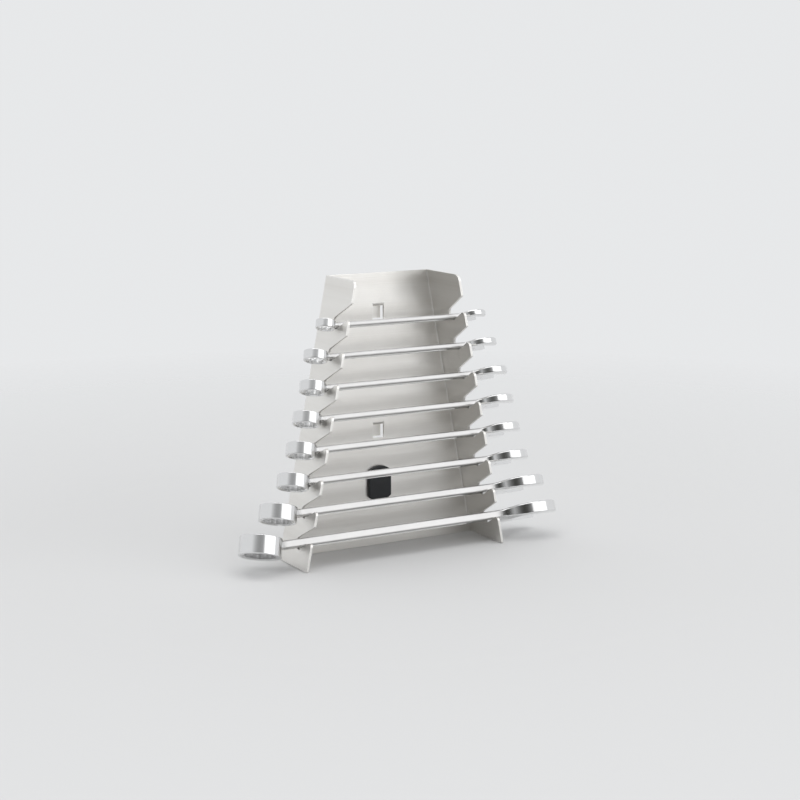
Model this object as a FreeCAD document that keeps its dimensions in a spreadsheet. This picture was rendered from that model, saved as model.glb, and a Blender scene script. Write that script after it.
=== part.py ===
"""Wrench rack: a folded sheet rack that hangs on a perforated panel and holds eight combination wrenches.

Frame: X to the right, Y into the panel, Z up, millimetres. The origin is the middle of the rack's
bottom edge, on the rear face of its back plate, which lies flat against the panel.
"""
import FreeCAD, Part
import Sketcher
import math
import os
import re

# Driving sizes of the folded sheet
RACK = {
    "rack_height": 175.5,
    "top_width": 73.9,
    "foot_width": 142.7,
    "sheet_gauge": 1.5,
    "flange_depth": 39.0,
    "bend_radius": 1.0,
    "rear_trim": 0.01,
    "slot_count": 8,
    "first_lip": 13.4,
    "last_lip": 27.7,
    "slot_width": 8.0,
    "slot_tilt": 29.0,
    "slot_seat": 24.2,
    "tip_radius": 2.0,
    "lip_radius": 0.8,
    "crown_radius": 4.0,
}

# Driving sizes of the hooks, which are cut from the back plate, and of the panel that they enter
HOOKS = {
    "panel_pitch": 38.0,
    "panel_gauge": 1.5,
    "panel_hole": 10.0,
    "panel_clearance": 0.6,
    "hook_drop": 21.3,
    "hook_width": 7.4,
    "hook_bend": 0.5,
    "window_width": 8.0,
    "window_height": 8.5,
}

# Driving sizes of the plastic clip that locks the rack to the panel
CLIP = {
    "clip_width": 16.2,
    "clip_height": 22.9,
    "clip_thickness": 2.5,
    "clip_round": 0.8,
    "clip_drop": 4.7,
    "clip_bore": 11.2,
    "plug_clearance": 0.3,
    "plug_reach": 6.5,
    "plug_slit": 2.2,
    "barb_height": 0.7,
    "barb_gap": 0.2,
}

# Driving sizes that all wrenches share
WRENCH = {
    "ring_tilt": 15.0,
    "mouth_turn": 15.0,
    "ring_round": 0.5,
    "ring_rim": 0.9,
    "lead_depth": 0.7,
    "ring_wall": 0.6,
    "neck_step": 0.6,
    "edge_round": 1.0,
    "recess_depth": 0.35,
    "recess_rim": 1.7,
    "wrench_roll": 21.0,
    "seat_gap": 0.02,
}

# Driving sizes of each wrench, from the top slot down, named by the size across flats
WRENCH_SIZES = ("flats", "reach", "ring_width", "ring_height", "neck_radius", "shank_width",
                "shank_height", "jaw_width", "jaw_height", "flare_radius", "ring_place")
WRENCHES = {
    "8mm": (8, 103.9, 12.0, 5.2, 6.0, 6.6, 2.9, 18.0, 3.8, 5.0, 49.9),
    "10mm": (10, 116.8, 14.8, 5.9, 9.0, 7.6, 3.1, 22.0, 4.3, 5.0, 56.9),
    "11mm": (11, 126.0, 16.2, 6.7, 7.0, 8.2, 3.3, 24.0, 4.7, 9.0, 59.2),
    "12mm": (12, 134.0, 17.3, 7.3, 7.0, 8.8, 3.5, 26.0, 5.0, 7.5, 63.5),
    "13mm": (13, 142.0, 18.5, 7.8, 6.0, 9.4, 3.8, 28.0, 5.4, 6.0, 67.5),
    "14mm": (14, 153.0, 19.7, 8.4, 8.0, 10.0, 4.0, 30.0, 5.8, 7.0, 73.3),
    "17mm": (17, 172.4, 23.4, 9.8, 14.0, 11.6, 4.4, 36.0, 6.7, 11.0, 83.8),
    "19mm": (19, 191.8, 26.4, 11.8, 16.0, 13.0, 4.9, 40.0, 7.6, 14.0, 96.0),
}

doc = FreeCAD.newDocument("wrench_rack")
sheet = doc.addObject("Spreadsheet::Sheet", "Sizes")
aliases = []


def store(name, number):
    """Puts one driving size in the next row of the sheet."""
    aliases.append(name)
    row = len(aliases)
    sheet.set("A%d" % row, name)
    sheet.set("B%d" % row, str(number))
    sheet.setAlias("B%d" % row, name)


for group in (RACK, HOOKS, CLIP, WRENCH):
    for size_name, size in group.items():
        store(size_name, size)
for tag, row_sizes in WRENCHES.items():
    for size_name, size in zip(WRENCH_SIZES, row_sizes):
        store("%s_%s" % (size_name, tag), size)
doc.recompute()


def sized(text):
    """The expression with each driving size pointing at the sheet."""
    return re.sub(r"[a-z][a-z_]*[a-z](?:_\d+mm)?", lambda word: word.group() if word.group() not in aliases
                  else "Sizes." + word.group(), text)


def number(text):
    """The present value of an expression."""
    result = sheet.evalExpression(sized(text))
    return float(getattr(result, "Value", result))


def bind(feature, **texts):
    """Binds properties of a feature to expressions."""
    for name, text in texts.items():
        feature.setExpression(name, sized(text))


def origin_part(body, role):
    """A plane or axis of the body's own origin."""
    return [part for part in body.Origin.OriginFeatures if part.Role == role][0]


def place(feature, x="0", y="0", z="0", axis=(0, 0, 1), angle="0", path="AttachmentOffset"):
    """Binds a placement: a shift along X, Y and Z, and a turn about one axis."""
    setattr(feature, path, FreeCAD.Placement(FreeCAD.Vector(number(x), number(y), number(z)),
                                             FreeCAD.Rotation(FreeCAD.Vector(*axis), number(angle))))
    for name, text in (("Base.x", x), ("Base.y", y), ("Base.z", z), ("Rotation.Angle", angle)):
        if text != "0":
            feature.setExpression("%s%s.%s" % ("." if name[0] == "R" else "", path, name), sized(text))


def attach(body, kind, name, role, **offset):
    """Adds a sketch or primitive to the body on one of its origin planes."""
    feature = body.newObject(kind, name)
    feature.AttachmentSupport = [(origin_part(body, role), "")]
    feature.MapMode = "FlatFace"
    if offset:
        place(feature, **offset)
    return feature


def fix_point(sketch, item, end, x, y):
    """Fixes a sketch point by its two coordinates."""
    for kind, text, axis in (("DistanceX", x, -2), ("DistanceY", y, -1)):
        if text == "0":
            sketch.addConstraint(Sketcher.Constraint("PointOnObject", item, end, axis))
        else:
            index = sketch.addConstraint(Sketcher.Constraint(kind, item, end, number(text)))
            sketch.setExpression("Constraints[%d]" % index, sized(text))


def measure(sketch, kind, text, *items):
    """Adds one bound dimension to a sketch."""
    index = sketch.addConstraint(Sketcher.Constraint(kind, *items, number(text)))
    sketch.setExpression("Constraints[%d]" % index, sized(text))


def outline(sketch, corners):
    """Draws a closed outline. A corner is its X and Y, and a radius where it is rounded."""
    points = [FreeCAD.Vector(number(corner[0]), number(corner[1]), 0) for corner in corners]
    radii = [number(corner[2]) if len(corner) > 2 else 0 for corner in corners]
    count = len(corners)
    cuts = []
    for k in range(count):
        back = (points[k - 1] - points[k]).normalize()
        ahead = (points[(k + 1) % count] - points[k]).normalize()
        half = back.getAngle(ahead) / 2
        cuts.append((back, ahead, half, radii[k] / math.tan(half)))
    for k in range(count):
        start = points[k] + cuts[k][1] * cuts[k][3]
        after = (k + 1) % count
        end = points[after] + cuts[after][0] * cuts[after][3]
        sketch.addGeometry(Part.LineSegment(start, end))
    for k in range(count):
        if radii[k] == 0:
            sketch.addConstraint(Sketcher.Constraint("Coincident", (k - 1) % count, 2, k, 1))
            fix_point(sketch, k, 1, corners[k][0], corners[k][1])
            continue
        back, ahead, half, cut = cuts[k]
        centre = points[k] + (back + ahead).normalize() * (radii[k] / math.sin(half))
        turn = back.cross(ahead).z
        first, last = (points[k] + back * cut - centre, points[k] + ahead * cut - centre)
        if turn > 0:
            first, last = last, first
        arc = sketch.addGeometry(Part.ArcOfCircle(Part.Circle(centre, FreeCAD.Vector(0, 0, 1), radii[k]),
                                                  math.atan2(first.y, first.x), math.atan2(last.y, last.x)))
        near, far = (2, 1) if turn > 0 else (1, 2)
        sketch.addConstraint(Sketcher.Constraint("Tangent", (k - 1) % count, 2, arc, near))
        sketch.addConstraint(Sketcher.Constraint("Tangent", arc, far, k, 1))
        measure(sketch, "Radius", corners[k][2], arc)
        corner = sketch.addGeometry(Part.Point(points[k]), True)
        fix_point(sketch, corner, 1, corners[k][0], corners[k][1])
        sketch.addConstraint(Sketcher.Constraint("PointOnObject", corner, 1, (k - 1) % count))
        sketch.addConstraint(Sketcher.Constraint("PointOnObject", corner, 1, k))


def drawn(body, name, role, corners, **offset):
    """A sketch on an origin plane with one closed outline."""
    sketch = attach(body, "Sketcher::SketchObject", name, role, **offset)
    outline(sketch, corners)
    return sketch


def extrude(body, kind, name, sketch, length=None):
    """Pads or pockets a sketch: by a length to one side, or evenly to both sides."""
    feature = body.newObject("PartDesign::" + kind, name)
    feature.Profile = sketch
    feature.SideType = "Symmetric"
    if length is None:
        feature.Type = "ThroughAll"
    else:
        bind(feature, Length=length)
    return feature


def one_way(feature):
    """Turns an even pocket into one that runs to one side of its sketch."""
    feature.SideType = "One side"
    feature.Reversed = False
    return feature


def pattern(body, kind, name, originals, **settings):
    """A pattern or mirror of features, which becomes the body's tip."""
    feature = body.newObject("PartDesign::" + kind, name)
    feature.Originals = originals
    for key, setting in settings.items():
        setattr(feature, key, setting)
    body.Tip = feature
    return feature


def fillet(body, name, radius, chosen):
    """Rounds the edges of the body's tip that pass a test."""
    doc.recompute()
    base = body.Tip
    edges = ["Edge%d" % (k + 1) for k, edge in enumerate(base.Shape.Edges) if chosen(edge)]
    feature = body.newObject("PartDesign::Fillet", name)
    feature.Base = (base, edges)
    bind(feature, Radius=radius)
    return feature


def new_body(label):
    """An empty sub-part."""
    body = doc.addObject("PartDesign::Body", label)
    body.Label = label
    return body


# Sizes that follow from the driving sizes
SIDE_SLOPE = "((foot_width - top_width) / 2 / rack_height)"
SIDE_GAUGE = "(sheet_gauge * sqrt(1 + %s ^ 2))" % SIDE_SLOPE
SLOT_CENTRE = ("(rack_height - first_lip - (flange_depth - slot_seat) * tan(slot_tilt)"
               " - slot_width / 2 / cos(slot_tilt))")
SLOT_RISE = "(slot_width / cos(slot_tilt))"
SLOT_PITCH = "((rack_height - first_lip - last_lip) / (slot_count - 1))"
HOOK_LEVEL = "(rack_height - hook_drop)"
HOOK_ROOT = "(%s + hook_bend + sheet_gauge)" % HOOK_LEVEL
HOOK_REACH = "(panel_gauge + panel_clearance)"
HOOK_TIP = "(%s - window_height + panel_clearance)" % HOOK_LEVEL
PLUG_LEVEL = "(%s + panel_hole / 2 - 3 * panel_pitch)" % HOOK_LEVEL
CLIP_LEVEL = "(%s - clip_drop)" % PLUG_LEVEL


def rack_section(body, name, width, level):
    """The level section of the folded sheet: back plate, two bends and two side flanges."""
    half = "(%s / 2)" % width
    inner = "(%s - %s)" % (half, SIDE_GAUGE)
    outer_bend = "bend_radius + sheet_gauge"
    return drawn(body, name, "XY_Plane", [
        ("-" + half, "-flange_depth"),
        ("-" + half, "rear_trim", outer_bend),
        (half, "rear_trim", outer_bend),
        (half, "-flange_depth"),
        (inner, "-flange_depth"),
        (inner, "-sheet_gauge", "bend_radius"),
        ("-" + inner, "-sheet_gauge", "bend_radius"),
        ("-" + inner, "-flange_depth"),
    ], z=level)


def slot_outline(sketch):
    """A slot with a round end behind and an open end in front of the flange."""
    half = number("slot_width / 2")
    front = number("-2 * flange_depth")
    up = FreeCAD.Vector(0, half, 0)
    sketch.addGeometry(Part.LineSegment(FreeCAD.Vector(front, half, 0), up))
    sketch.addGeometry(Part.ArcOfCircle(Part.Circle(FreeCAD.Vector(), FreeCAD.Vector(0, 0, 1), half),
                                        -math.pi / 2, math.pi / 2))
    sketch.addGeometry(Part.LineSegment(-up, FreeCAD.Vector(front, -half, 0)))
    sketch.addGeometry(Part.LineSegment(FreeCAD.Vector(front, -half, 0), FreeCAD.Vector(front, half, 0)))
    sketch.addConstraint(Sketcher.Constraint("Tangent", 0, 2, 1, 2))
    sketch.addConstraint(Sketcher.Constraint("Tangent", 1, 1, 2, 1))
    sketch.addConstraint(Sketcher.Constraint("Coincident", 2, 2, 3, 1))
    sketch.addConstraint(Sketcher.Constraint("Coincident", 3, 2, 0, 1))
    sketch.addConstraint(Sketcher.Constraint("Horizontal", 0))
    sketch.addConstraint(Sketcher.Constraint("Horizontal", 2))
    sketch.addConstraint(Sketcher.Constraint("Vertical", 3))
    sketch.addConstraint(Sketcher.Constraint("Coincident", 1, 3, -1, 1))
    measure(sketch, "Radius", "slot_width / 2", 1)
    measure(sketch, "DistanceX", "-2 * flange_depth", 3, 1)


def make_rack():
    """The folded sheet: flanges with a row of tilted slots, two hooks and a hole for the clip."""
    body = new_body("rack")
    foot = rack_section(body, "FootSection", "foot_width", "0")
    top = rack_section(body, "TopSection", "top_width", "rack_height")
    folded = body.newObject("PartDesign::AdditiveLoft", "FoldedSheet")
    folded.Profile = foot
    folded.Sections = [top]
    folded.Ruled = True

    # The folded sheet's rear is trimmed to a true plane, which is the face that lies on the panel.
    trim_sketch = drawn(body, "RearTrimOutline", "XZ_Plane", [
        ("-foot_width", "-sheet_gauge"),
        ("foot_width", "-sheet_gauge"),
        ("foot_width", "rack_height + sheet_gauge"),
        ("-foot_width", "rack_height + sheet_gauge"),
    ])
    one_way(extrude(body, "Pocket", "RearTrim", trim_sketch, "sheet_gauge"))

    slot_sketch = attach(body, "Sketcher::SketchObject", "SlotOutline", "YZ_Plane",
                         x="-slot_seat", y=SLOT_CENTRE, angle="-slot_tilt")
    slot_outline(slot_sketch)
    slot = extrude(body, "Pocket", "Slot", slot_sketch)
    row = pattern(body, "LinearPattern", "SlotRow", [slot], Mode="Spacing", Reversed=True,
                  Direction=(origin_part(body, "Z_Axis"), [""]))
    bind(row, Occurrences="slot_count", Offset=SLOT_PITCH)

    window_sketch = drawn(body, "WindowOutline", "XZ_Plane", [
        ("-window_width / 2", HOOK_LEVEL + " - window_height"),
        ("window_width / 2", HOOK_LEVEL + " - window_height"),
        ("window_width / 2", HOOK_ROOT),
        ("-window_width / 2", HOOK_ROOT),
    ])
    window = extrude(body, "Pocket", "Window", window_sketch)
    behind = "(hook_bend + %s)" % HOOK_REACH
    outer_bend = "hook_bend + sheet_gauge"
    hook_sketch = drawn(body, "HookOutline", "YZ_Plane", [
        ("-sheet_gauge", HOOK_ROOT + " + sheet_gauge"),
        ("-sheet_gauge", HOOK_LEVEL, outer_bend),
        (behind, HOOK_LEVEL, "hook_bend"),
        (behind, HOOK_TIP),
        (behind + " + sheet_gauge", HOOK_TIP),
        (behind + " + sheet_gauge", HOOK_LEVEL + " + sheet_gauge", outer_bend),
        ("0", HOOK_LEVEL + " + sheet_gauge", "hook_bend"),
        ("0", HOOK_ROOT + " + sheet_gauge"),
    ])
    hook = extrude(body, "Pad", "Hook", hook_sketch, "hook_width")
    hooks = pattern(body, "LinearPattern", "HookPair", [window, hook], Mode="Spacing", Reversed=True,
                    Direction=(origin_part(body, "Z_Axis"), [""]), Occurrences=2)
    bind(hooks, Offset="2 * panel_pitch")

    bore = attach(body, "PartDesign::SubtractiveCylinder", "ClipBore", "XZ_Plane",
                  y=PLUG_LEVEL, z="-sheet_gauge")
    bind(bore, Radius="clip_bore / 2", Height="3 * sheet_gauge")

    front = number("-flange_depth")
    slots = range(int(number("slot_count")))
    lips = [number("rack_height - first_lip - %d * %s" % (k, SLOT_PITCH)) for k in slots]
    tips = [lip - number(SLOT_RISE) for lip in lips]

    def across(edge, levels):
        """True for an edge across the flange's front, at one of the levels."""
        middle = edge.CenterOfMass
        return (abs(middle.y - front) < 0.01 and edge.BoundBox.ZLength < 0.01
                and min(abs(middle.z - level) for level in levels) < 0.01)

    fillet(body, "Tips", "tip_radius", lambda edge: across(edge, tips))
    fillet(body, "Lips", "lip_radius", lambda edge: across(edge, lips + [0]))
    fillet(body, "Crowns", "crown_radius", lambda edge: across(edge, [number("rack_height")]))
    return body


def make_clip():
    """The locking clip: a flat-sided head over the plate's hole and a slit plug with a barbed rim."""
    body = new_body("panel_clip")
    disc = attach(body, "PartDesign::AdditiveCylinder", "HeadDisc", "XZ_Plane",
                  y=CLIP_LEVEL, z="sheet_gauge")
    bind(disc, Radius="clip_height / 2", Height="clip_thickness")
    flats_sketch = drawn(body, "HeadFlats", "XZ_Plane", [
        ("clip_width / 2", CLIP_LEVEL + " - clip_height"),
        ("clip_height", CLIP_LEVEL + " - clip_height"),
        ("clip_height", CLIP_LEVEL + " + clip_height"),
        ("clip_width / 2", CLIP_LEVEL + " + clip_height"),
    ])
    flats = extrude(body, "Pocket", "HeadFlat", flats_sketch)
    pattern(body, "Mirrored", "HeadFlatPair", [flats], MirrorPlane=(origin_part(body, "YZ_Plane"), [""]))
    face = number("-sheet_gauge - clip_thickness")
    fillet(body, "HeadEdge", "clip_round", lambda edge: edge.BoundBox.YLength < 0.01
           and abs(edge.BoundBox.YMin - face) < 0.01)

    radius = "(panel_hole / 2 - plug_clearance)"
    barb = "(%s + barb_height)" % radius
    shoulder = "panel_gauge + barb_gap"
    plug_sketch = drawn(body, "PlugSection", "XY_Plane", [
        ("0", "-sheet_gauge - clip_thickness / 2"),
        (radius, "-sheet_gauge - clip_thickness / 2"),
        (radius, shoulder),
        (barb, shoulder + " + barb_height"),
        (radius + " - barb_height", "plug_reach"),
        ("0", "plug_reach"),
    ], z=PLUG_LEVEL)
    plug = body.newObject("PartDesign::Revolution", "Plug")
    plug.Profile = plug_sketch
    plug.ReferenceAxis = (plug_sketch, ["V_Axis"])
    plug.Angle = 360
    slit_sketch = drawn(body, "PlugSlit", "XY_Plane", [
        ("-plug_slit / 2", "0"),
        ("plug_slit / 2", "0"),
        ("plug_slit / 2", "2 * plug_reach"),
        ("-plug_slit / 2", "2 * plug_reach"),
    ])
    extrude(body, "Pocket", "Slit", slit_sketch)
    return body


def wrench_plan(sketch, own):
    """The plan of a wrench: a straight shank that flares into a round neck and a round jaw end."""
    half, reach = number(own("shank_width") + " / 2"), number(own("reach"))
    neck_width = "(%s / 2 - ring_wall)" % own("ring_width")
    ends = []
    for place_x, side, width, radius in ((0, 1, neck_width, own("neck_radius")),
                                         (reach, -1, own("jaw_width") + " / 2", own("flare_radius"))):
        head, flare = number(width), number(radius)
        run = math.sqrt((head + flare) ** 2 - (half + flare) ** 2)
        ends.append((place_x, side, head, flare, place_x + side * run, math.atan2(half + flare, run)))

    def arc(x, y, radius, first, last):
        """Adds an arc by its centre, radius and two angles."""
        circle = Part.Circle(FreeCAD.Vector(x, y, 0), FreeCAD.Vector(0, 0, 1), radius)
        return sketch.addGeometry(Part.ArcOfCircle(circle, first, last))

    def line(x1, y1, x2, y2):
        """Adds a line between two points."""
        return sketch.addGeometry(Part.LineSegment(FreeCAD.Vector(x1, y1, 0), FreeCAD.Vector(x2, y2, 0)))

    neck_x, jaw_x = ends[0][4], ends[1][4]
    neck_flare, neck_lean = ends[0][3], ends[0][5]
    jaw_flare, jaw_lean = ends[1][3], ends[1][5]
    rear = line(neck_x, half, jaw_x, half)
    rear_jaw = arc(jaw_x, half + jaw_flare, jaw_flare, -math.pi / 2, -jaw_lean)
    jaw = arc(reach, 0, ends[1][2], jaw_lean - math.pi, math.pi - jaw_lean)
    front_jaw = arc(jaw_x, -half - jaw_flare, jaw_flare, jaw_lean, math.pi / 2)
    front = line(jaw_x, -half, neck_x, -half)
    front_neck = arc(neck_x, -half - neck_flare, neck_flare, math.pi / 2, math.pi - neck_lean)
    front_round = arc(0, 0, ends[0][2], -math.pi / 2, -neck_lean)
    back = line(0, -ends[0][2], 0, ends[0][2])
    rear_round = arc(0, 0, ends[0][2], neck_lean, math.pi / 2)
    rear_neck = arc(neck_x, half + neck_flare, neck_flare, math.pi + neck_lean, -math.pi / 2)
    for first, first_end, second, second_end in (
            (rear, 2, rear_jaw, 1), (rear_jaw, 2, jaw, 2), (jaw, 1, front_jaw, 1),
            (front_jaw, 2, front, 1), (front, 2, front_neck, 1), (front_neck, 2, front_round, 2),
            (rear_round, 1, rear_neck, 1), (rear_neck, 2, rear, 1)):
        sketch.addConstraint(Sketcher.Constraint("Tangent", first, first_end, second, second_end))
    for curve, end, back_end in ((front_round, 1, 1), (rear_round, 2, 2)):
        sketch.addConstraint(Sketcher.Constraint("Coincident", curve, end, back, back_end))
        sketch.addConstraint(Sketcher.Constraint("Coincident", curve, 3, -1, 1))
        sketch.addConstraint(Sketcher.Constraint("PointOnObject", curve, end, -2))
    for straight in (rear, front):
        sketch.addConstraint(Sketcher.Constraint("Horizontal", straight))
    sketch.addConstraint(Sketcher.Constraint("Equal", rear_jaw, front_jaw))
    sketch.addConstraint(Sketcher.Constraint("Equal", rear_neck, front_neck))
    sketch.addConstraint(Sketcher.Constraint("Equal", rear_round, front_round))
    fix_point(sketch, jaw, 3, own("reach"), "0")
    measure(sketch, "Radius", neck_width, rear_round)
    measure(sketch, "Radius", own("neck_radius"), rear_neck)
    measure(sketch, "Radius", own("jaw_width") + " / 2", jaw)
    measure(sketch, "Radius", own("flare_radius"), rear_jaw)
    measure(sketch, "DistanceY", own("shank_width") + " / 2", rear, 2)
    measure(sketch, "DistanceY", "-%s / 2" % own("shank_width"), front, 1)


def make_wrench(tag, slot_index):
    """One combination wrench, made about the centre of its ring and laid in its slot."""
    body = new_body("wrench_" + tag)

    def own(name):
        """The name of one of this wrench's sizes."""
        return "%s_%s" % (name, tag)

    plan = attach(body, "Sketcher::SketchObject", "Plan_" + tag, "XY_Plane")
    wrench_plan(plan, own)
    extrude(body, "Pad", "Blank_" + tag, plan, own("jaw_height") + " + 2")

    low, high = own("shank_height") + " / 2", own("jaw_height") + " / 2"
    clear = own("jaw_height")
    swell = "%s * 0.8" % own("jaw_width")
    relief_sketch = drawn(body, "Side_" + tag, "XZ_Plane", [
        ("-%s" % own("ring_width"), low),
        ("%s - 0.525 * %s" % (own("reach"), own("jaw_width")), low, swell),
        ("%s - 0.3 * %s" % (own("reach"), own("jaw_width")), high, swell),
        ("%s + %s" % (own("reach"), own("jaw_width")), high),
        ("%s + %s" % (own("reach"), own("jaw_width")), clear),
        ("-%s" % own("ring_width"), clear),
    ])
    relief = extrude(body, "Pocket", "Relief_" + tag, relief_sketch)
    level = (origin_part(body, "XY_Plane"), [""])
    pattern(body, "Mirrored", "ReliefPair_" + tag, [relief], MirrorPlane=level)
    fillet(body, "Edges_" + tag, "edge_round", lambda edge: edge.BoundBox.XLength > 0.01)

    inset = "(%s / 2 - recess_rim)" % own("shank_width")
    recess_start = "%s / 2 + %s" % (own("ring_width"), own("neck_radius"))
    recess_end = "%s - %s" % (own("reach"), own("jaw_width"))
    recess_round = inset + " * 0.9"
    recess_sketch = drawn(body, "Recess_" + tag, "XY_Plane", [
        (recess_start, "-" + inset, recess_round),
        (recess_end, "-" + inset, recess_round),
        (recess_end, inset, recess_round),
        (recess_start, inset, recess_round),
    ], z=low)
    recess = one_way(extrude(body, "Pocket", "Panel_" + tag, recess_sketch, "recess_depth"))
    pattern(body, "Mirrored", "PanelPair_" + tag, [recess], MirrorPlane=level)

    height, width = own("ring_height"), own("ring_width")
    lift = "(%s / 2 * sin(ring_tilt) - %s / 2 * cos(ring_tilt) + %s + neck_step)" % (width, height, low)
    ring_sketch = drawn(body, "RingSection_" + tag, "XZ_Plane", [
        ("0", "-%s / 2" % height),
        ("-%s / 2" % width, "-%s / 2" % height, "ring_round"),
        ("-%s / 2" % width, height + " / 2", "ring_round"),
        ("0", height + " / 2"),
    ], y=lift, angle="-ring_tilt")
    ring = body.newObject("PartDesign::Revolution", "Ring_" + tag)
    ring.Profile = ring_sketch
    ring.ReferenceAxis = (ring_sketch, ["V_Axis"])
    ring.Angle = 360

    corner = own("flats") + " / sqrt(3)"
    socket = attach(body, "PartDesign::SubtractivePrism", "Socket_" + tag, "XY_Plane",
                    x="-%s * sin(ring_tilt)" % height, z="%s - %s * cos(ring_tilt)" % (lift, height),
                    axis=(0, 1, 0), angle="ring_tilt")
    bind(socket, Circumradius=corner, Height="2 * " + height)
    pattern(body, "PolarPattern", "TwelvePoint_" + tag, [socket], Axis=(ring_sketch, ["V_Axis"]),
            Angle=30, Occurrences=2)

    lead = "(%s / 2 - ring_rim)" % width
    for name, side in (("Lower", "-"), ("Upper", "")):
        face = "%s%s / 2" % (side, height)
        floor = "%s %s lead_depth" % (face, "+" if side else "-")
        lead_sketch = drawn(body, "%sLead_%s" % (name, tag), "XZ_Plane", [
            ("0", face),
            ("-" + lead, face),
            ("-%s + lead_depth" % lead, floor),
            ("0", floor),
        ], y=lift, angle="-ring_tilt")
        groove = body.newObject("PartDesign::Groove", "%sCone_%s" % (name, tag))
        groove.Profile = lead_sketch
        groove.ReferenceAxis = (lead_sketch, ["V_Axis"])
        groove.Angle = 360

    half_flats = "%s / 2" % own("flats")
    mouth = attach(body, "PartDesign::SubtractiveBox", "Mouth_" + tag, "XY_Plane",
                   x="%s + %s * sin(mouth_turn)" % (own("reach"), half_flats),
                   y="-%s * cos(mouth_turn)" % half_flats, z="-" + clear, angle="mouth_turn")
    bind(mouth, Length=own("jaw_width"), Width=own("flats"), Height="2 * " + clear)
    throat = attach(body, "PartDesign::SubtractivePrism", "Throat_" + tag, "XY_Plane",
                    x=own("reach"), z="-" + clear, angle="mouth_turn")
    bind(throat, Circumradius=corner, Height="2 * " + clear)

    lean = "(slot_tilt - wrench_roll)"
    inner = "(slot_width / 2 - edge_round)"
    span = "(%s - 2 * edge_round)" % own("shank_width")
    rear = "sqrt((%s - seat_gap) ^ 2 - (%s - %s * sin(%s)) ^ 2)" % (inner, inner, span, lean)
    along = "(%s - %s / 2 * cos(%s) + (edge_round - %s) * sin(%s))" % (rear, span, lean, low, lean)
    above = "(%s / 2 * sin(%s) - (edge_round - %s) * cos(%s) - %s)" % (span, lean, low, lean, inner)
    place(body, path="Placement", axis=(1, 0, 0), angle="-wrench_roll",
          x="-" + own("ring_place"),
          y="-slot_seat + %s * cos(slot_tilt) + %s * sin(slot_tilt)" % (along, above),
          z="%s - %d * %s - %s * sin(slot_tilt) + %s * cos(slot_tilt)"
            % (SLOT_CENTRE, slot_index, SLOT_PITCH, along, above))
    return body


sub_parts = [make_rack(), make_clip()]
for slot_index, tag in enumerate(WRENCHES):
    sub_parts.append(make_wrench(tag, slot_index))
doc.recompute()

for item in doc.Objects:
    if "Invalid" in item.State or "Error" in item.State:
        raise RuntimeError("%s failed: %s" % (item.Name, item.State))
for body in sub_parts:
    if body.Shape.isNull() or not body.Shape.isValid():
        raise RuntimeError("%s has no valid solid" % body.Label)

os.makedirs("parts", exist_ok=True)
for body in sub_parts:
    body.Shape.exportStep("parts/%s.step" % body.Label)
    print(body.Label, len(body.Shape.Solids), round(body.Shape.Volume, 1), body.Shape.BoundBox)
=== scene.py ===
import math

import bpy
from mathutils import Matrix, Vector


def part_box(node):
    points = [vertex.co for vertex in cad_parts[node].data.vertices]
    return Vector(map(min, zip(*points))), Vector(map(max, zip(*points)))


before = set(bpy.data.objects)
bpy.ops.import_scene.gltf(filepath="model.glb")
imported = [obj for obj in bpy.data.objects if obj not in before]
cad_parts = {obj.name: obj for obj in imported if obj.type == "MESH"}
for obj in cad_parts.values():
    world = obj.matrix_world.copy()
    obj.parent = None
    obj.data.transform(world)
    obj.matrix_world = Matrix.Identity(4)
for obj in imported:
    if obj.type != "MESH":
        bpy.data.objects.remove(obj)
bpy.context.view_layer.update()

# Each wrench's ring and jaw widths in metres. The ring is polished over its width, the jaw a little further.
WRENCH_ENDS = {
    "wrench_8mm": (0.0120, 0.018),
    "wrench_10mm": (0.0148, 0.022),
    "wrench_11mm": (0.0162, 0.024),
    "wrench_12mm": (0.0173, 0.026),
    "wrench_13mm": (0.0185, 0.028),
    "wrench_14mm": (0.0197, 0.030),
    "wrench_17mm": (0.0234, 0.036),
    "wrench_19mm": (0.0264, 0.040),
}
JAW_POLISH = 1.05


# Shader building

def add_node(tree, kind, inputs=None, **settings):
    """One shader node with its properties set, and its inputs set or linked."""
    made = tree.nodes.new(kind)
    for name, value in settings.items():
        setattr(made, name, value)
    for name, value in (inputs or {}).items():
        if isinstance(value, bpy.types.NodeSocket):
            tree.links.new(value, made.inputs[name])
        else:
            made.inputs[name].default_value = value
    return made


def maths(tree, operation, first, second, third=0.0):
    """One Math node's result."""
    return add_node(tree, "ShaderNodeMath", {0: first, 1: second, 2: third}, operation=operation).outputs[0]


def remap(tree, value, low, high, start=0.0, end=1.0):
    """A value taken from one range to another, held at its ends."""
    return add_node(tree, "ShaderNodeMapRange",
                    {0: value, 1: low, 2: high, 3: start, 4: end}, clamp=True).outputs[0]


def blend_colours(tree, share, first, second):
    """Two colours mixed by a share."""
    made = add_node(tree, "ShaderNodeMix", data_type="RGBA")
    for index, value in ((0, share), (6, first), (7, second)):
        if isinstance(value, bpy.types.NodeSocket):
            tree.links.new(value, made.inputs[index])
        else:
            made.inputs[index].default_value = value
    return made.outputs[2]


def new_group(name, inputs, outputs):
    """A new shader group with float sockets of these names, and its two end nodes."""
    tree = bpy.data.node_groups.new(name, "ShaderNodeTree")
    for label, value in inputs.items():
        socket = tree.interface.new_socket(name=label, in_out="INPUT", socket_type="NodeSocketFloat")
        socket.default_value = value
    for label in outputs:
        tree.interface.new_socket(name=label, in_out="OUTPUT", socket_type="NodeSocketFloat")
    return tree, tree.nodes.new("NodeGroupInput"), tree.nodes.new("NodeGroupOutput")


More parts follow.
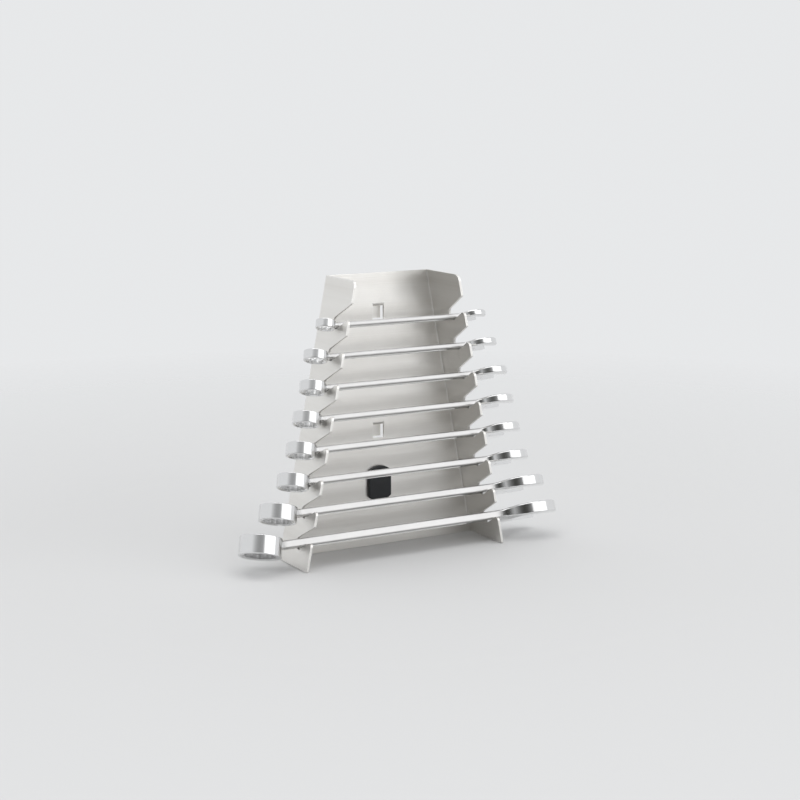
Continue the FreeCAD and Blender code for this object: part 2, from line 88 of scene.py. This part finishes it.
def stretched_noise(tree, stretch, scale, detail=3.0, roughness=0.55):
    """Noise on the piece's own coordinates, stretched along some axes."""
    place = add_node(tree, "ShaderNodeTexCoord").outputs["Object"]
    turned = add_node(tree, "ShaderNodeMapping", {"Vector": place, "Scale": stretch}).outputs["Vector"]
    return add_node(tree, "ShaderNodeTexNoise", {"Vector": turned, "Scale": scale, "Detail": detail,
                                                 "Roughness": roughness}).outputs["Fac"]


def worn_edges_group():
    """A mask along the sharp outer edges, where handling has polished the metal."""
    tree, start, end = new_group("worn_edges", {"Width": 0.0006, "Gain": 9.0}, ["Edge"])
    rounded = add_node(tree, "ShaderNodeBevel", {"Radius": start.outputs["Width"]}, samples=6)
    flat = add_node(tree, "ShaderNodeNewGeometry")
    along = add_node(tree, "ShaderNodeVectorMath", {0: rounded.outputs[0], 1: flat.outputs["Normal"]},
                     operation="DOT_PRODUCT").outputs["Value"]
    bent = maths(tree, "SUBTRACT", 1.0, along)
    strength = maths(tree, "MULTIPLY", bent, start.outputs["Gain"])
    broken = stretched_noise(tree, (1, 1, 1), scale=900.0, detail=2.0)
    patchy = maths(tree, "MULTIPLY", strength, remap(tree, broken, 0.3, 0.6, 0.6, 1.0))
    tree.links.new(remap(tree, patchy, 0.0, 1.0), end.inputs["Edge"])
    return tree


def rolled_bands_group():
    """Faint bands left across the sheet by the rolling mill, and fine lines among them."""
    tree, start, end = new_group("rolled_bands", {"Lines": 0.5}, ["Bands", "Lines"])
    wide = stretched_noise(tree, (0.6, 0.6, 14), scale=6.0, detail=2.0)
    narrow = stretched_noise(tree, (0.8, 0.8, 60), scale=22.0)
    tree.links.new(remap(tree, wide, 0.34, 0.66), end.inputs["Bands"])
    fine = maths(tree, "MULTIPLY", remap(tree, narrow, 0.3, 0.7), start.outputs["Lines"])
    tree.links.new(fine, end.inputs["Lines"])
    return tree


def handling_group():
    """Smudges from hands and fine grain: one large soft pattern and one small one."""
    tree, start, end = new_group("handling", {"Grain scale": 2500.0}, ["Smudge", "Grain"])
    smudge = stretched_noise(tree, (1, 1, 1), scale=38.0, detail=4.0, roughness=0.6)
    tree.links.new(remap(tree, smudge, 0.35, 0.7), end.inputs["Smudge"])
    place = add_node(tree, "ShaderNodeTexCoord").outputs["Object"]
    grain = add_node(tree, "ShaderNodeTexNoise", {"Vector": place, "Scale": start.outputs["Grain scale"],
                                                  "Detail": 2.0})
    tree.links.new(grain.outputs["Fac"], end.inputs["Grain"])
    return tree


worn_edges = worn_edges_group()
rolled_bands = rolled_bands_group()
handling = handling_group()


def new_material(name):
    """A new material, its node tree and its Principled BSDF."""
    material = bpy.data.materials.new(name)
    material.use_nodes = True
    return material, material.node_tree, material.node_tree.nodes["Principled BSDF"]


def placed(tree, group, **values):
    """A copy of a shared group in a material, with its own values."""
    made = add_node(tree, "ShaderNodeGroup", node_tree=group)
    for name, value in values.items():
        made.inputs[name.replace("_", " ")].default_value = value
    return made.outputs


def rack_sheet():
    """Zinc-plated sheet: satin, with faint rolling bands, and bright cut edges."""
    material, tree, shader = new_material("rack_sheet")
    edge = placed(tree, worn_edges, Width=0.0005, Gain=7.0)["Edge"]
    bands = placed(tree, rolled_bands, Lines=0.6)
    hands = placed(tree, handling, Grain_scale=3200.0)
    dull_zinc, clean_zinc = (0.80, 0.78, 0.745, 1), (0.89, 0.875, 0.845, 1)
    rolled_line, bare_steel = (0.92, 0.91, 0.89, 1), (0.97, 0.97, 0.96, 1)
    toned = blend_colours(tree, bands["Bands"], dull_zinc, clean_zinc)
    lined = blend_colours(tree, maths(tree, "MULTIPLY", bands["Lines"], 0.5), toned, rolled_line)
    tree.links.new(blend_colours(tree, edge, lined, bare_steel), shader.inputs["Base Color"])
    rough = maths(tree, "MULTIPLY_ADD", hands["Smudge"], 0.08, 0.33)
    rough = maths(tree, "MULTIPLY_ADD", bands["Lines"], 0.08, rough)
    tree.links.new(maths(tree, "MULTIPLY_ADD", edge, -0.10, rough), shader.inputs["Roughness"])
    shader.inputs["Metallic"].default_value = 1.0
    height = maths(tree, "MULTIPLY_ADD", bands["Lines"], 1.6, hands["Grain"])
    bump = add_node(tree, "ShaderNodeBump", {"Height": height, "Strength": 0.35, "Distance": 0.00008})
    tree.links.new(bump.outputs["Normal"], shader.inputs["Normal"])
    return material


def wrench_steel(name, ring_end, jaw_start):
    """Chromed forging: a satin shank, and ends polished beyond these two places along X."""
    material, tree, shader = new_material(name)
    edge = placed(tree, worn_edges, Width=0.0005, Gain=6.0)["Edge"]
    hands = placed(tree, handling, Grain_scale=1900.0)
    place = add_node(tree, "ShaderNodeTexCoord").outputs["Object"]
    along = add_node(tree, "ShaderNodeSeparateXYZ", {0: place}).outputs["X"]
    ring = remap(tree, along, ring_end + 0.001, ring_end - 0.002)
    jaw = remap(tree, along, jaw_start - 0.001, jaw_start + 0.003)
    polish = maths(tree, "MAXIMUM", maths(tree, "MAXIMUM", ring, jaw), edge)
    handled_satin, clean_satin, mirror = (0.55, 0.545, 0.54, 1), (0.63, 0.625, 0.62, 1), (0.80, 0.80, 0.80, 1)
    satin = blend_colours(tree, hands["Smudge"], handled_satin, clean_satin)
    tree.links.new(blend_colours(tree, polish, satin, mirror), shader.inputs["Base Color"])
    rough = maths(tree, "MULTIPLY_ADD", polish, -0.19, 0.30)
    tree.links.new(maths(tree, "MULTIPLY_ADD", hands["Smudge"], 0.06, rough), shader.inputs["Roughness"])
    shader.inputs["Metallic"].default_value = 1.0
    grain = maths(tree, "MULTIPLY", hands["Grain"], remap(tree, polish, 0.0, 1.0, 1.0, 0.15))
    bump = add_node(tree, "ShaderNodeBump", {"Height": grain, "Strength": 0.5, "Distance": 0.00008})
    tree.links.new(bump.outputs["Normal"], shader.inputs["Normal"])
    return material


def clip_plastic():
    """Black moulded plastic with a fine matt grain, a little paler where it is rubbed."""
    material, tree, shader = new_material("clip_plastic")
    edge = placed(tree, worn_edges, Width=0.0005, Gain=5.0)["Edge"]
    hands = placed(tree, handling, Grain_scale=2600.0)
    black, dusty, rubbed = (0.020, 0.022, 0.026, 1), (0.032, 0.034, 0.038, 1), (0.075, 0.078, 0.085, 1)
    face = blend_colours(tree, hands["Smudge"], black, dusty)
    tree.links.new(blend_colours(tree, edge, face, rubbed), shader.inputs["Base Color"])
    tree.links.new(maths(tree, "MULTIPLY_ADD", hands["Grain"], 0.25, 0.38), shader.inputs["Roughness"])
    bump = add_node(tree, "ShaderNodeBump", {"Height": hands["Grain"], "Strength": 0.5, "Distance": 0.00012})
    tree.links.new(bump.outputs["Normal"], shader.inputs["Normal"])
    return material


def dress(node, material):
    """Gives a piece of the frame its finished material."""
    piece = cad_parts[node]
    if not piece.material_slots:
        piece.data.materials.append(material)
    for slot in piece.material_slots:
        slot.material = material


dress("rack", rack_sheet())
dress("panel_clip", clip_plastic())
for node, (ring_width, jaw_width) in WRENCH_ENDS.items():
    low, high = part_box(node)
    dress(node, wrench_steel(node + "_steel", low[0] + ring_width, high[0] - JAW_POLISH * jaw_width))


# Studio

# The floor lies a little under the rack's foot, and fades into the background between the last two distances.
FLOOR_LEVEL = -0.0004
FLOOR_WIDTH = 4.0
FADE_START = 0.24
FADE_END = 0.85

# The dark flag's direction from the rack, and the cosines at which its shade starts and is full
FLAG_DIRECTION = (-0.50, -0.86, -0.05)
FLAG_REACH = 0.56
FLAG_CORE = 0.91

# The viewpoint: how far it looks down and to the right, and its lens in millimetres
VIEWPOINT = (-0.5390, -0.9632, 0.2924)
LOOK_DOWN = 10.19
LOOK_RIGHT = 29.98
LENS = 79.43

# The lights face the middle of the rack.
RACK_MIDDLE = (0, 0, 0.09)


def studio_floor():
    """A plain pale floor under the rack, which fades into the background."""
    bpy.ops.object.select_all(action="DESELECT")
    bpy.ops.mesh.primitive_plane_add(size=FLOOR_WIDTH, location=(0, 0, FLOOR_LEVEL))
    floor = bpy.context.active_object
    floor.name = "studio_floor"
    material, tree, shader = new_material("studio_floor")
    shader.inputs["Base Color"].default_value = (0.82, 0.82, 0.82, 1)
    shader.inputs["Roughness"].default_value = 0.85
    shader.inputs["Specular IOR Level"].default_value = 0.2
    place = add_node(tree, "ShaderNodeTexCoord").outputs["Object"]
    away = add_node(tree, "ShaderNodeVectorMath", {0: place}, operation="LENGTH").outputs["Value"]
    tree.links.new(remap(tree, away, FADE_START, FADE_END, 1.0, 0.0), shader.inputs["Alpha"])
    floor.data.materials.append(material)


def studio_world(pale, dark, soft):
    """A pale background, softer as a light, with a dark flag at the viewpoint that the camera doesn't see."""
    world = bpy.data.worlds.new("studio_world")
    bpy.context.scene.world = world
    world.use_nodes = True
    tree = world.node_tree
    tree.nodes.clear()
    path = add_node(tree, "ShaderNodeLightPath").outputs
    seen = maths(tree, "MAXIMUM", maths(tree, "MAXIMUM", path["Is Camera Ray"], path["Is Glossy Ray"]),
                 path["Is Transmission Ray"])
    strength = remap(tree, seen, 0.0, 1.0, soft, 1.0)
    direction = add_node(tree, "ShaderNodeTexCoord").outputs["Generated"]
    towards = add_node(tree, "ShaderNodeVectorMath", {0: direction, 1: FLAG_DIRECTION},
                       operation="DOT_PRODUCT").outputs["Value"]
    flag = remap(tree, towards, FLAG_REACH, FLAG_CORE, 0.0, 1.0)
    hidden = maths(tree, "SUBTRACT", 1.0, path["Is Camera Ray"])
    colour = blend_colours(tree, maths(tree, "MULTIPLY", flag, hidden), pale, dark)
    background = add_node(tree, "ShaderNodeBackground", {"Color": colour, "Strength": strength})
    output = add_node(tree, "ShaderNodeOutputWorld")
    tree.links.new(background.outputs[0], output.inputs[0])


def softbox(name, place, target, width, height, power):
    """A rectangular soft light that faces a point, with its sides in metres and its power in watts."""
    data = bpy.data.lights.new(name, "AREA")
    data.shape = "RECTANGLE"
    data.size, data.size_y, data.energy = width, height, power
    light = bpy.data.objects.new(name, data)
    bpy.context.collection.objects.link(light)
    light.location = place
    aim = [t - p for t, p in zip(target, place)]
    flat = math.hypot(aim[0], aim[1])
    light.rotation_euler = (math.pi / 2 + math.atan2(aim[2], flat), 0, math.atan2(-aim[0], aim[1]))


def photo_camera():
    """The photograph's viewpoint: left of the rack and a little above it."""
    data = bpy.data.cameras.new("photo_camera")
    data.sensor_width = 36.0
    data.lens = LENS
    camera = bpy.data.objects.new("photo_camera", data)
    bpy.context.collection.objects.link(camera)
    camera.location = VIEWPOINT
    camera.rotation_euler = (math.radians(90 - LOOK_DOWN), 0, math.radians(-LOOK_RIGHT))
    bpy.context.scene.camera = camera


studio_floor()
studio_world(pale=(0.80, 0.81, 0.82, 1), dark=(0.03, 0.03, 0.025, 1), soft=0.74)
softbox("key_light", (1.75, -3.0, 1.15), RACK_MIDDLE, width=4.0, height=3.0, power=31)
softbox("top_light", (-0.3, -0.6, 3.2), RACK_MIDDLE, width=3.6, height=3.0, power=42)
photo_camera()
bpy.context.scene.view_settings.view_transform = "Standard"
